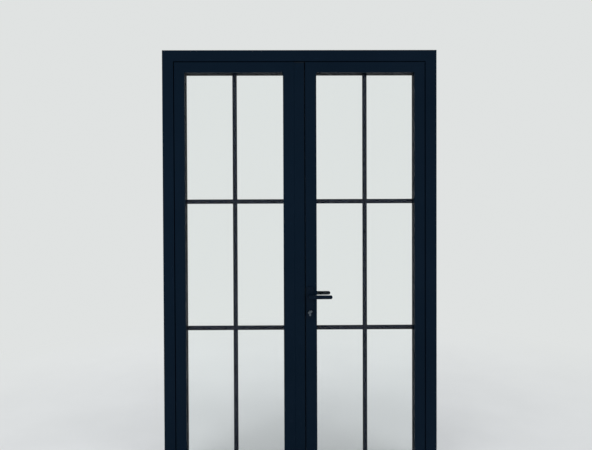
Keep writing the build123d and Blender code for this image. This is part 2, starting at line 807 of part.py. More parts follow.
def bolt_windows(x):
    """The openings that both bolts slide through."""
    latch = window(LATCH_SIZE, BOLT_FIT)
    deadbolt = window(DEADBOLT_SIZE, BOLT_FIT)
    opening = block(x, around(LOCK_Y, latch[0]), around(LATCH_HEIGHT, latch[1]))
    return opening + block(x, around(LOCK_Y, deadbolt[0]), around(DEADBOLT_HEIGHT, deadbolt[1]))


def faceplate_limits():
    middle = (CASE_TOP + CASE_BOTTOM) / 2
    x = (ACTIVE_MEETING, CASE_FRONT)
    return x, around(LOCK_Y, FACEPLATE[1]), around(middle, FACEPLATE[2])


def faceplate():
    x, y, z = faceplate_limits()
    plate = block(x, y, z)
    plate -= bolt_windows(grown(x, CUT_OVER))
    plate -= rod_x(x, LOCK_Y, cylinder_screw_height(), SCREW_RADIUS)
    for height in faceplate_screw_heights():
        plate -= rod_x(x, LOCK_Y, height, SCREW_RADIUS)
    return plate


def faceplate_screw_heights():
    _, _, z = faceplate_limits()
    return (z[0] + FACEPLATE[1] / 2, z[1] - FACEPLATE[1] / 2)


def cylinder_screw_height():
    return CYLINDER_HEIGHT - (CAM_RADIUS + CAM_FIT + BARREL_DROP) / 2


def plate_bolt_heights():
    low = PLATE_TOP - PLATE_HEIGHT + PLATE_SCREW_INSET
    return (low, PLATE_TOP - PLATE_SCREW_INSET - SCREW_RADIUS)


def cut_lock_openings(stile):
    """Everything milled in the active lock stile for the lock, handles and cylinder."""
    x, y, z = faceplate_limits()
    stile -= block((x[0] - CUT_OVER, x[1]), y, z)
    case_y = grown(around(LOCK_Y, CASE_THICKNESS), CASE_FIT)
    case_z = grown((CASE_BOTTOM, CASE_TOP), CASE_FIT)
    stile -= block((CASE_FRONT, CASE_BACK), case_y, case_z)
    through = (-DEPTH, DEPTH)
    stile -= rod_y(SPINDLE_X, through, LEVER_HEIGHT, NECK_RADIUS + 2 * NECK_FIT)
    stile -= at_cylinder(barrel_outline(BARREL_FIT), through)
    for height in plate_bolt_heights():
        stile -= rod_y(SPINDLE_X, through, height, PLATE_BOLT_RADIUS + BOLT_FIT)
    return stile


def follower():
    """The hub that the spindle turns, with the arm that draws the latch back."""
    y = around(LOCK_Y, CASE_THICKNESS - 2 * CASE_WALL - 2 * BOLT_FIT)
    hub = rod_y(SPINDLE_X, y, LEVER_HEIGHT, FOLLOWER_RADIUS)
    arm = Pos(0, FOLLOWER_REACH / 2) * Rectangle(FOLLOWER_ARM, FOLLOWER_REACH)
    arm = Pos(SPINDLE_X, LEVER_HEIGHT) * Rot(0, 0, FOLLOWER_LEAN) * arm
    hub += slab_y(arm, around(LOCK_Y, FOLLOWER_DEPTH))
    hole = SPINDLE + 2 * SPINDLE_FIT
    hub -= block(around(SPINDLE_X, hole), grown(y, CUT_OVER), around(LEVER_HEIGHT, hole))
    return hub


def lug_start_x():
    """Where the latch's lug starts, so that the arm just clears it at the end of its turn."""
    lean = math.radians(FOLLOWER_LEAN)
    end_of_turn = FOLLOWER_REACH * math.sin(lean) + FOLLOWER_ARM / 2 * math.cos(lean)
    return SPINDLE_X + end_of_turn - LATCH_THROW + BOLT_FIT


def latch_bolt():
    """Bevelled latch with a tail that hooks round the follower's arm."""
    tip = ACTIVE_MEETING - LATCH_THROW
    back = tip + LATCH_BODY
    y = around(LOCK_Y, LATCH_SIZE[0])
    z = around(LATCH_HEIGHT, LATCH_SIZE[1])
    bolt = block((tip, back), y, z)
    front_edges = bolt.edges().filter_by(Axis.Z).sort_by(Axis.X)[:2]
    bolt = chamfer(front_edges.sort_by(Axis.Y)[0], LATCH_BEVEL)
    lug_start = lug_start_x()
    lug_end = lug_start + LATCH_LUG
    tail_y = (LOCK_Y + FOLLOWER_DEPTH / 2 + BOLT_FIT, LOCK_Y + LATCH_SIZE[0] / 2)
    tail_z = (LEVER_HEIGHT + FOLLOWER_RADIUS + BOLT_FIT, LATCH_HEIGHT + LATCH_TAIL_RISE)
    bolt += block((back, lug_end), tail_y, tail_z)
    lug_y = (LOCK_Y - FOLLOWER_DEPTH / 2, tail_y[1])
    lug_z = (LEVER_HEIGHT + FOLLOWER_REACH - LATCH_LUG_DROP, tail_z[1])
    return bolt + block((lug_start, lug_end), lug_y, lug_z)


def dead_bolt():
    """Square deadbolt, drawn back flush with the faceplate, with a tail over the cam."""
    front = ACTIVE_MEETING
    back = front + DEADBOLT_BODY
    y = around(LOCK_Y, DEADBOLT_SIZE[0])
    z = around(DEADBOLT_HEIGHT, DEADBOLT_SIZE[1])
    bolt = block((front, back), y, z)
    tail_x = (back - DEADBOLT_TAIL, back)
    cam_top = CYLINDER_HEIGHT + CAM_RADIUS + CAM_FIT
    return bolt + block(tail_x, around(LOCK_Y, FOLLOWER_DEPTH), (cam_top, z[0]))


def barrel_limits():
    inner = INSIDE - PLATE_THICKNESS - BARREL_STAND
    return (inner, -inner)


def cylinder_body():
    """Cylinder body: inner and outer halves joined by the bridge under the cam."""
    y = barrel_limits()
    body = at_cylinder(barrel_outline(0), y)
    cam_y = around(LOCK_Y, CAM_WIDTH + 2 * CAM_FIT)
    body -= rod_y(SPINDLE_X, cam_y, CYLINDER_HEIGHT, CAM_RADIUS + CAM_FIT)
    body -= rod_y(SPINDLE_X, (y[0], LOCK_Y), CYLINDER_HEIGHT, TURN_SHAFT + TURN_FIT)
    width, height, depth = KEYWAY
    keyway = Pos(SPINDLE_X, CYLINDER_HEIGHT) * Rectangle(width, height)
    body -= slab_y(keyway, (y[1] - depth, y[1] + CUT_OVER))
    leg_x = around(SPINDLE_X, BARREL_LEG)
    return body - rod_x(leg_x, LOCK_Y, cylinder_screw_height(), SCREW_RADIUS)


def cylinder_cam():
    """The cam on the thumbturn's shaft: a round hub with one lobe."""
    y = around(LOCK_Y, CAM_WIDTH)
    hub = Circle(BARREL_RADIUS - 2 * CAM_FIT)
    lobe = Pos(0, -CAM_RADIUS / 2) * Rectangle(BARREL_LEG - 2 * CAM_FIT, CAM_RADIUS)
    shape = hub + (lobe & Circle(CAM_RADIUS))
    return at_cylinder(shape, y)


def thumbturn():
    """Oval turn on a shaft that reaches the cam."""
    y = barrel_limits()
    shaft = rod_y(SPINDLE_X, (y[0], LOCK_Y - CAM_WIDTH / 2), CYLINDER_HEIGHT, TURN_SHAFT)
    collar = rod_y(SPINDLE_X, (y[0] - BARREL_STAND, y[0]), CYLINDER_HEIGHT, TURN_COLLAR)
    grip = SlotOverall(TURN_LENGTH, TURN_TALL)
    grip = Pos(SPINDLE_X, CYLINDER_HEIGHT) * Rot(0, 0, TURN_TILT) * grip
    front = y[0] - BARREL_STAND
    knob = slab_y(grip, (front - TURN_STAND + BARREL_STAND, front))
    rim = knob.faces().sort_by(Axis.Y)[0].edges()
    knob = chamfer(rim, PLATE_EDGE)
    return shaft + collar + knob


# Handles


def at_room_side(part, outdoors):
    """Mirror a piece made for the room side to the outdoor side when asked."""
    return mirror(part, about=Plane.XZ) if outdoors else part


def handle_plate(outdoors):
    """Long backplate with a raised collar round the lever's neck."""
    y = (INSIDE - PLATE_THICKNESS, INSIDE)
    outline = Pos(SPINDLE_X, PLATE_MIDDLE) * RectangleRounded(PLATE_WIDTH, PLATE_HEIGHT, PLATE_CORNER)
    plate = slab_y(outline, y)
    rim = plate.faces().sort_by(Axis.Y)[0].edges()
    plate = fillet(rim, PLATE_EDGE)
    collar_y = (y[0] - COLLAR_STAND, y[0])
    plate += rod_y(SPINDLE_X, collar_y, LEVER_HEIGHT, COLLAR_RADIUS)
    through = (collar_y[0] - CUT_OVER, y[1] + CUT_OVER)
    plate -= rod_y(SPINDLE_X, through, LEVER_HEIGHT, NECK_RADIUS + NECK_FIT)
    plate -= at_cylinder(barrel_outline(BARREL_FIT), through)
    for height in plate_bolt_heights():
        plate -= rod_y(SPINDLE_X, through, height, PLATE_BOLT_RADIUS)
        sink = (y[0] - CUT_OVER, y[0] + PLATE_BOLT_SINK)
        if not outdoors:
            plate -= rod_y(SPINDLE_X, sink, height, PLATE_BOLT_HEAD)
    return at_room_side(plate, outdoors)


def plate_bolt(height):
    """A long screw from the room-side plate into the outdoor plate."""
    head_y = (INSIDE - PLATE_THICKNESS, INSIDE - PLATE_THICKNESS + PLATE_BOLT_SINK)
    tip = OUTSIDE + PLATE_THICKNESS / 2
    bolt = rod_y(SPINDLE_X, (head_y[1], tip), height, PLATE_BOLT_RADIUS)
    return bolt + rod_y(SPINDLE_X, head_y, height, PLATE_BOLT_HEAD)


def lever(outdoors):
    """Straight lever: a round neck turning into a flat bar with a round end."""
    middle = INSIDE - LEVER_STAND
    front = middle - LEVER_THICK / 2
    back = middle + LEVER_THICK / 2
    reach = LEVER_REACH - LEVER_TALL / 2
    bar = Pos(reach / 2, 0) * Rectangle(reach, LEVER_TALL)
    outline = bar + Circle(LEVER_TALL / 2) + Pos(reach, 0) * Circle(LEVER_TALL / 2)
    grip = slab_y(Pos(SPINDLE_X, LEVER_HEIGHT) * outline, (front, back))
    grip = fillet(grip.faces().sort_by(Axis.Y)[0].edges(), LEVER_EDGE)
    grip = fillet(grip.faces().sort_by(Axis.Y)[-1].edges(), LEVER_EDGE)
    neck = rod_y(SPINDLE_X, (middle, INSIDE), LEVER_HEIGHT, NECK_RADIUS)
    piece = grip + neck
    hole = SPINDLE + 2 * SPINDLE_FIT
    piece -= block(around(SPINDLE_X, hole), (back, INSIDE + CUT_OVER), around(LEVER_HEIGHT, hole))
    return at_room_side(piece, outdoors)


def spindle():
    end = LEVER_STAND - LEVER_THICK / 2 - INSIDE - BOLT_FIT
    return block(around(SPINDLE_X, SPINDLE), (-end, end), around(LEVER_HEIGHT, SPINDLE))


# Mullion


def mullion_limits():
    return (LEAF_BOTTOM + CAP_PLATE, LEAF_TOP - CAP_PLATE)


def mullion():
    """Square tube carried on the passive leaf's meeting stile."""
    low, high = mullion_limits()
    section = area((MULLION_LEFT, MULLION_RIGHT), (INSIDE, OUTSIDE))
    section = chamfer(section.vertices(), MULLION_EDGE_CUT)
    room = area((MULLION_LEFT + WALL, MULLION_RIGHT - WALL), (INSIDE + WALL, OUTSIDE - WALL))
    tube = extrude(Pos(0, 0, low) * (section - room), amount=high - low)
    edge = (MULLION_RIGHT - WALL - CUT_OVER, MULLION_RIGHT + CUT_OVER)
    tube -= bolt_windows(edge)
    for height in lock_keep_screw_heights():
        tube -= rod_x(edge, LOCK_Y, height, SCREW_RADIUS)
    for up in (1, -1):
        tube -= block(edge, around(LOCK_Y, flush_box_width()), flush_box_limits(up))
        for height in flush_screw_heights(up):
            tube -= rod_x(edge, LOCK_Y, height, SCREW_RADIUS)
    return drill_mullion_screws(tube)


def mullion_screw_heights():
    low, high = mullion_limits()
    pitch = (high - low) / MULLION_SCREWS
    return [low + pitch * (index + 0.5) for index in range(MULLION_SCREWS)]


def drill_mullion_screws(part):
    for height in mullion_screw_heights():
        part -= rod_x(around(MULLION_LEFT, 2 * WALL), LOCK_Y, height, SCREW_RADIUS)
    return part


def mullion_screw(height):
    """A screw from inside the mullion into the passive leaf's meeting stile."""
    seat = MULLION_LEFT + WALL
    shank = rod_x((seat - SCREW_LENGTH, seat), LOCK_Y, height, SCREW_RADIUS)
    return shank + rod_x((seat, seat + MULLION_SCREW_HEAD), LOCK_Y, height, SCREW_HEAD)


def mullion_cap(up):
    """End cap that closes the mullion and fills the rebate over it."""
    end = LEAF_TOP if up > 0 else LEAF_BOTTOM
    x = (MULLION_LEFT, MULLION_RIGHT)
    plate = block(x, (INSIDE, OUTSIDE), sorted((end - up * CAP_PLATE, end)))
    lip = block(x, (LEG_BACK, OUTSIDE), sorted((end, end + up * LIP)))
    room = WALL + CAP_FIT
    spigot_end = end - up * (CAP_PLATE + CAP_SPIGOT)
    spigot_z = sorted((end - up * CAP_PLATE, spigot_end))
    spigot = block(grown(x, -room), grown((INSIDE, OUTSIDE), -room), spigot_z)
    hollow_x = grown(x, -room - WALL)
    hollow_y = grown((INSIDE, OUTSIDE), -room - WALL)
    spigot -= block(hollow_x, hollow_y, sorted((end - up * CAP_PLATE, spigot_end - up * CUT_OVER)))
    cap = plate + lip + spigot
    through = sorted((spigot_end, end + up * (LIP + CUT_OVER)))
    return cap - rod_z(FLUSH_X, LOCK_Y, through, FLUSH_ROD + FLUSH_ROD_FIT)


def lock_keep():
    """Keep plate on the mullion's edge for the latch and the deadbolt."""
    x = (MULLION_RIGHT, MULLION_RIGHT + KEEP_THICKNESS)
    plate = block(x, around(LOCK_Y, KEEP_WIDTH), lock_keep_limits())
    plate -= bolt_windows(grown(x, CUT_OVER))
    for height in lock_keep_screw_heights():
        plate -= rod_x(x, LOCK_Y, height, SCREW_RADIUS)
    return plate


def lock_keep_limits():
    low = DEADBOLT_HEIGHT - DEADBOLT_SIZE[1] / 2 - KEEP_OVER
    high = LATCH_HEIGHT + LATCH_SIZE[1] / 2 + KEEP_OVER
    return (low, high)


def lock_keep_screw_heights():
    return grown(lock_keep_limits(), -KEEP_SCREW_INSET)


def edge_screw(face, height, inward):
    """A flush screw along X into a leaf's edge; inward is its driving direction."""
    length = FLUSH_ROD_INSET - FLUSH_ROD
    return rod_x(sorted((face, face + inward * length)), LOCK_Y, height, SCREW_RADIUS)


def meeting_seal():
    """Rubber fin along the mullion and its end caps, near the outdoor face."""
    x = (MULLION_RIGHT, MULLION_RIGHT + MEETING_GAP - MEETING_SEAL_FIT)
    start = OUTSIDE - MEETING_SEAL_FROM_OUTSIDE
    fin = area(x, (start, start + MEETING_SEAL_WIDTH))
    tips = fin.vertices().group_by(Axis.X)[-1]
    fin = fillet(tips, MEETING_SEAL_WIDTH / 2 - EDGE_CUT)
    low = SILL_TOPSIDE + MEETING_SEAL_END_FIT
    high = HEAD_UNDERSIDE - MEETING_SEAL_END_FIT
    return extrude(Pos(0, 0, low) * fin, amount=high - low)


# Flush bolts


def flush_end(up):
    return LEAF_TOP - FLUSH_FROM_END if up > 0 else LEAF_BOTTOM + FLUSH_FROM_END


def flush_plate_limits(up):
    end = flush_end(up)
    return tuple(sorted((end, end - up * FLUSH_LENGTH)))


def flush_screw_heights(up):
    low, high = flush_plate_limits(up)
    inset = FLUSH_PLATE_WIDTH / 2
    return (low + inset, high - inset)


def flush_box_limits(up):
    low, high = flush_plate_limits(up)
    inset = FLUSH_PLATE_WIDTH
    return (low + inset, high - inset)


def flush_box_width():
    return 2 * (FLUSH_ROD + FLUSH_ROD_FIT + FLUSH_BOX_WALL)


def flush_slot_limits(up):
    """The finger slot in the plate, long enough for the slider's travel."""
    low, high = flush_box_limits(up)
    return around((low + high) / 2, FLUSH_SLOT[1])


def flush_body(up):
    """Flush bolt body: a plate on the mullion's edge and a channel behind it."""
    x = (MULLION_RIGHT, MULLION_RIGHT + KEEP_THICKNESS)
    plate = block(x, around(LOCK_Y, FLUSH_PLATE_WIDTH), flush_plate_limits(up))
    box_x = (FLUSH_X - FLUSH_ROD - FLUSH_ROD_FIT - FLUSH_BOX_WALL, MULLION_RIGHT)
    limits = flush_box_limits(up)
    body = plate + block(box_x, around(LOCK_Y, flush_box_width()), limits)
    room_x = (box_x[0] + FLUSH_BOX_WALL, MULLION_RIGHT)
    room_y = around(LOCK_Y, flush_box_width() - 2 * FLUSH_BOX_WALL)
    body -= block(room_x, room_y, grown(limits, -FLUSH_BOX_WALL))
    body -= block(grown(x, CUT_OVER), around(LOCK_Y, FLUSH_SLOT[0]), flush_slot_limits(up))
    end = limits[1] if up > 0 else limits[0]
    wall = around(end, 2 * (FLUSH_BOX_WALL + CUT_OVER))
    body -= rod_z(FLUSH_X, LOCK_Y, wall, FLUSH_ROD + FLUSH_ROD_FIT)
    for height in flush_screw_heights(up):
        body -= rod_x(x, LOCK_Y, height, SCREW_RADIUS)
    return body


def flush_rod(up):
    """Sliding rod with the finger block that moves in the plate's slot."""
    end = LIP_TOP if up > 0 else LIP_BOTTOM
    tip = end - up * FLUSH_TIP_BACK
    slot = flush_slot_limits(up)
    start = slot[0] if up > 0 else slot[1]
    finger_length = FLUSH_SLOT[1] - FLUSH_TRAVEL - 2 * FLUSH_ROD_FIT
    finger_start = start + up * FLUSH_ROD_FIT
    finger_z = tuple(sorted((finger_start, finger_start + up * finger_length)))
    rod = rod_z(FLUSH_X, LOCK_Y, tuple(sorted((finger_start, tip))), FLUSH_ROD)
    rod = chamfer_tip(rod, up)
    finger_x = (FLUSH_X, MULLION_RIGHT + KEEP_THICKNESS)
    finger = block(finger_x, around(LOCK_Y, FLUSH_SLOT[0] - 2 * FLUSH_ROD_FIT), finger_z)
    dish = rod_y(finger_x[1], (INSIDE, OUTSIDE), sum(finger_z) / 2, FLUSH_SLOT[0])
    return rod + (finger - dish)


def chamfer_tip(rod, up):
    rims = rod.edges().filter_by(GeomType.CIRCLE).sort_by(Axis.Z)
    return chamfer(rims[-1 if up > 0 else 0], FLUSH_TIP_CUT)


# Nodes


def build_frame():
    left, right, head, sill = frame_members()
    left = drill_hinges(drill_side_anchors(left, -1), -1, 1)
    right = drill_hinges(drill_side_anchors(right, 1), 1, 1)
    head = drill_head_anchors(head)
    head = drill_frame_keep(head, (HEAD_UNDERSIDE, HEAD_UNDERSIDE + WALL))
    sill = drill_frame_keep(sill, (SILL_TOPSIDE - WALL, SILL_TOPSIDE))
    sill = drain(sill, (LEFT, RIGHT), WALL + DRAIN_ABOVE)
    screws = hinge_screws(-1, 1) + hinge_screws(1, 1)
    screws += [keep_screw(x, HEAD_UNDERSIDE, 1) for x in keep_screw_places()]
    screws += [keep_screw(x, SILL_TOPSIDE, -1) for x in keep_screw_places()]
    pins = [hinge_pin(side, z) for side in (-1, 1) for z in HINGE_PLACES]
    nodes = {
        "frame_head": head,
        "frame_jamb_left": left,
        "frame_jamb_right": right,
        "frame_sill": sill,
        "frame_corner_cleats": frame_cleats(),
        "frame_seal": frame_seal(),
        "frame_bolt_keeps": [
            frame_keep(top_keep_limits()),
            frame_keep(bottom_keep_limits()),
        ],
        "frame_hinge_wings_left": [wing(-1, z, 1, (0, 2)) for z in HINGE_PLACES],
        "frame_hinge_wings_right": [wing(1, z, 1, (0, 2)) for z in HINGE_PLACES],
        "hinge_pins": pins,
        "frame_screws": screws,
    }
    return nodes


def build_leaf(name, side):
    """The pieces that both leaves have."""
    left, right, top, bottom = leaf_members(side)
    hinge_stile, meeting_stile = (left, right) if side < 0 else (right, left)
    nodes = {
        name + "_hinge_stile": drill_hinges(hinge_stile, side, -1),
        name + "_meeting_stile": meeting_stile,
        name + "_top_rail": top,
        name + "_bottom_rail": drain(bottom, leaf_limits(side), LIP_BOTTOM + WALL + DRAIN_ABOVE),
        name + "_corner_cleats": leaf_cleats(side),
        name + "_glazing_beads": beads(side),
        name + "_inner_pane": pane(side, GLASS_FRONT),
        name + "_outer_pane": pane(side, GLASS_FRONT + PANE + CAVITY),
        name + "_pane_spacer": spacer(side),
        name + "_muntin_grid": muntin_grid(side),
        name + "_glazing_gaskets": [glazing_gasket(side, LEG_BACK), glazing_gasket(side, GLASS_BACK)],
        name + "_glass_packers": packers(side),
        name + "_hinge_wings": [wing(side, z, -1, (1,)) for z in HINGE_PLACES],
        name + "_screws": hinge_screws(side, -1),
    }
    return nodes


def build_active():
    nodes = build_leaf("active", 1)
    stile = cut_lock_openings(nodes["active_meeting_stile"])
    for height in faceplate_screw_heights():
        stile -= rod_x((ACTIVE_MEETING, CASE_BACK), LOCK_Y, height, SCREW_RADIUS)
    nodes["active_meeting_stile"] = stile
    nodes["active_screws"] += [edge_screw(ACTIVE_MEETING, z, 1) for z in faceplate_screw_heights()]
    nodes["active_screws"] += [plate_bolt(z) for z in plate_bolt_heights()]
    screw_x = (ACTIVE_MEETING, SPINDLE_X + BARREL_LEG / 2)
    nodes["active_screws"].append(rod_x(screw_x, LOCK_Y, cylinder_screw_height(), SCREW_RADIUS))
    nodes["active_rail_plugs"] = [rail_plug(1), rail_plug(-1)]
    nodes["lock_case"] = lock_case()
    nodes["lock_faceplate"] = faceplate()
    nodes["cylinder_body"] = cylinder_body()
    nodes["handle_plate_inner"] = handle_plate(False)
    nodes["handle_plate_outer"] = handle_plate(True)
    nodes["lever_inner"] = lever(False)
    nodes["lever_outer"] = lever(True)
    nodes["lever_spindle"] = spindle()
    nodes["lock_follower"] = follower()
    nodes["latch_bolt"] = latch_bolt()
    nodes["dead_bolt"] = dead_bolt()
    nodes["thumbturn"] = thumbturn()
    nodes["cylinder_cam"] = cylinder_cam()
    return nodes


def build_passive():
    nodes = build_leaf("passive", -1)
    nodes["passive_meeting_stile"] = drill_mullion_screws(nodes["passive_meeting_stile"])
    keep_face = MULLION_RIGHT + KEEP_THICKNESS
    screw_heights = list(lock_keep_screw_heights()) + list(flush_screw_heights(1))
    screw_heights += list(flush_screw_heights(-1))
    nodes["passive_screws"] += [edge_screw(keep_face, z, -1) for z in screw_heights]
    nodes["passive_screws"] += [mullion_screw(z) for z in mullion_screw_heights()]
    nodes["floating_mullion"] = mullion()
    nodes["mullion_end_caps"] = [mullion_cap(1), mullion_cap(-1)]
    nodes["meeting_seal"] = meeting_seal()
    nodes["lock_keep"] = lock_keep()
    nodes["flush_bolt_bodies"] = [flush_body(1), flush_body(-1)]
    nodes["flush_bolt_rod_top"] = flush_rod(1)
    nodes["flush_bolt_rod_bottom"] = flush_rod(-1)
    return nodes


def write(name, pieces):
    shape = Compound(children=list(pieces)) if isinstance(pieces, list) else pieces
    export_step(shape, "parts/" + name + ".step")


os.makedirs("parts", exist_ok=True)
for group in (build_frame(), build_active(), build_passive()):
    for node, solids in group.items():
        write(node, solids)
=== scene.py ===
import json
import math

import bmesh
import bpy
from mathutils import Matrix, Vector


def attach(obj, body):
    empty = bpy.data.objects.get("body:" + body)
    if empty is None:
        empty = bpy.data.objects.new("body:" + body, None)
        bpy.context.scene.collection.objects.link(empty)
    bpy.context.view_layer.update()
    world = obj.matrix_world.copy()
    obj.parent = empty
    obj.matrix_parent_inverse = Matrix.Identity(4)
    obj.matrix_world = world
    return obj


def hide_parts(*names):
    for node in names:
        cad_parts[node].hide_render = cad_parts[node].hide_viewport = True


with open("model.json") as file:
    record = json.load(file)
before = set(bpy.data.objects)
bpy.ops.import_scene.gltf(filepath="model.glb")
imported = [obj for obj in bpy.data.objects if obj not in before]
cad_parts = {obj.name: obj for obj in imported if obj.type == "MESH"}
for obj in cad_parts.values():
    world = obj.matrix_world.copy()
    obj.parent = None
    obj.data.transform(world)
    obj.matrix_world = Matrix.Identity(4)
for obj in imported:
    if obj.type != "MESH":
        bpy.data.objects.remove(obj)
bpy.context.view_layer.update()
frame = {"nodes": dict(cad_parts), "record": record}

# The looks of the french doors: a finish for every piece, screws with real heads, fuller lever grips, and the
# floor, the light and the camera.
# Lengths are in metres. The room side faces -Y and the outdoor side faces +Y.

# Colours, as linear light
NAVY = (0.0010, 0.0058, 0.0136)
NAVY_WORN = (0.0048, 0.0105, 0.0195)
NAVY_DUST = (0.0018, 0.0073, 0.0162)
BAR_DARK = (0.0070, 0.0120, 0.0265)
BAR_PALE = (0.0110, 0.0165, 0.0330)
BLACK_COAT = (0.0009, 0.0052, 0.0124)
BLACK_COAT_WORN = (0.0045, 0.0092, 0.0170)
# The outer lever's coat is painted daylight. It is a lighter copy of the black handle coat and stands in for
# the daylight that falls on the lever outdoors. The second tone is lighter still and gives its patches and
# rubbed edges.
PAINTED_DAYLIGHT_COAT = (0.0300, 0.0410, 0.0520)
PAINTED_DAYLIGHT_WORN = (0.0400, 0.0520, 0.0640)
NICKEL_DARK = (0.0700, 0.0860, 0.1050)
NICKEL_PALE = (0.1200, 0.1400, 0.1650)
STEEL_DARK = (0.2200, 0.2250, 0.2300)
STEEL_PALE = (0.4200, 0.4250, 0.4300)
# Dark steel for the pieces in the gap between the leaves: painted shade in place of their bright metal
GAP_SHADE_STEEL_DARK = (0.0160, 0.0190, 0.0230)
GAP_SHADE_STEEL_PALE = (0.0300, 0.0340, 0.0390)
ALLOY_DARK = (0.4200, 0.4250, 0.4350)
ALLOY_PALE = (0.6600, 0.6650, 0.6750)
RUBBER_DARK = (0.0012, 0.0024, 0.0042)
RUBBER_PALE = (0.0034, 0.0052, 0.0078)
NYLON_DARK = (0.0040, 0.0042, 0.0050)
NYLON_PALE = (0.0095, 0.0098, 0.0110)
SPACER_DARK = (0.0012, 0.0024, 0.0044)
SPACER_PALE = (0.0036, 0.0054, 0.0084)
GLASS_TINT = (0.985, 0.996, 0.993)
GLASS_SMEAR = (0.970, 0.984, 0.981)
FLOOR_DARK = (0.70, 0.71, 0.71)
FLOOR_PALE = (0.75, 0.76, 0.76)
SKY = (0.745, 0.765, 0.760)
WORLD_LIGHT = (0.93, 0.96, 1.0)
WORLD_STRENGTH = 0.55

# Each noise below is its scale and its detail, and where it isn't the usual one, its roughness.
# Each bump is its strength and its depth.
USUAL_DETAIL = 3.0
USUAL_ROUGHNESS = 0.55

# The span that a noise rarely leaves
NOISE_SPAN = (0.3, 0.7)

# Sharp edges: the samples that find them, and how alike the rounded and the true normal are, from a sharp
# edge to a flat face
EDGE_SAMPLES = 4
EDGE_SPAN = (0.80, 0.995)

# Powder coat
PATCHES = (2.3, 4.0)
PATCH_SPAN = (0.35, 0.68)
SPECKS = (1400.0, 2.0)
SPECK_SHARE = 0.12
RUBBING = (38.0, 5.0)
RUBBED_RADIUS = 0.0010
RUBBED_SHARE = (0.10, 0.60)
SHEEN = (9.0, 4.0)
SHEEN_BELOW = 0.05
SHEEN_ABOVE = 0.07
PEEL = (620.0, 2.0)
PEEL_BUMP = (0.22, 0.0002)
SWELL = (5.5, 2.0)
SWELL_BUMP = (0.10, 0.002)

# Bare metal
BRUSHING = (900.0, 3.0, 0.6)
BRUSHING_TONE = (0.45, 1.0)
BRUSHING_BUMP = (0.18, 0.0001)
STAINS = (22.0, 5.0)
STAIN_TONE = (0.65, 1.0)
STAIN_ABOVE = 0.09
STAIN_BELOW = 0.05
ALONG_X = (0.02, 1.0, 1.0)
ALONG_Z = (1.0, 1.0, 0.02)

# Rubber and nylon
DUST = (14.0, 6.0)
DUST_SPAN = (0.42, 0.75)
SKIN = (60.0, 3.0)
SKIN_CHANGE = 0.08
SKIN_BUMP = (0.30, 0.0002)
SKIN_SPECULAR = 0.12

# Glass
WAVES = (1.7, 1.0, 0.4)
WAVE_STRETCH = (1.0, 1.0, 0.35)
WAVE_BUMP = (0.05, 0.004)
HAZE = (6.0, 6.0)
HAZE_ROUGHNESS = 0.012
HAZE_SPAN = (0.45, 0.80)
SMEARS = (3.1, 5.0)
SMEAR_SHARE = 0.30
SMEAR_SPAN = (0.50, 0.85)
GLASS_IOR = 1.2

# Floor, with the distances at which it starts to fade into the backdrop and has gone
MOTTLE = (1.6, 5.0)
FLOOR_GRAIN = (45.0, 3.0)
FLOOR_BUMP = (0.05, 0.001)
FLOOR_ROUGHNESS = 0.75
FLOOR_SPECULAR = 0.2
FADE_SPAN = (1.0, 4.0)
FLOOR_RADIUS = 14.0
FLOOR_SIDES = 96

# Camera, fitted to the photograph's edges and gap lines. Its turns are in degrees.
CAMERA_PLACE = (-0.0384, -2.5003, 1.4212)
CAMERA_YAW = -0.370
CAMERA_PITCH = -0.608
CAMERA_ROLL = 0.214
CAMERA_UPRIGHT = 90.0
LENS = 27.41
SENSOR = 36.0

# Screws. The cross's sizes and the crown are shares of the head's radius, and the taper is a share of the
# cross's reach.
SCREW_SIDES = 32
CROSS_ARMS = 4
CROSS_REACH = 0.52
CROSS_HALF_WIDTH = 0.13
CROSS_DEPTH = 0.42
CROSS_TAPER = 0.55
HEAD_CROWN = 0.06
LEAST_CONE = 0.0004

# A screw longer than this holds both handle plates
THROUGH_LENGTH = 0.05

# Vertices this near are one, and ends and radii this near are the same
WELD_DISTANCE = 0.00001
SAME_DISTANCE = 0.0001

# The X of the mullion's face at the gap between the leaves
MEETING_PLANE = 0.0275

# Levers: the height of their axis, where the grip starts in depth, and how much taller it is at each end
LEVER_HEIGHT = 1.005
GRIP_START = 0.0695
GRIP_ROOT = 1.22
GRIP_TIP = 1.12

# The sockets of a mix node that hold its two colours and its result
FIRST_COLOUR = 6
SECOND_COLOUR = 7
MIXED_COLOUR = 2


# Materials


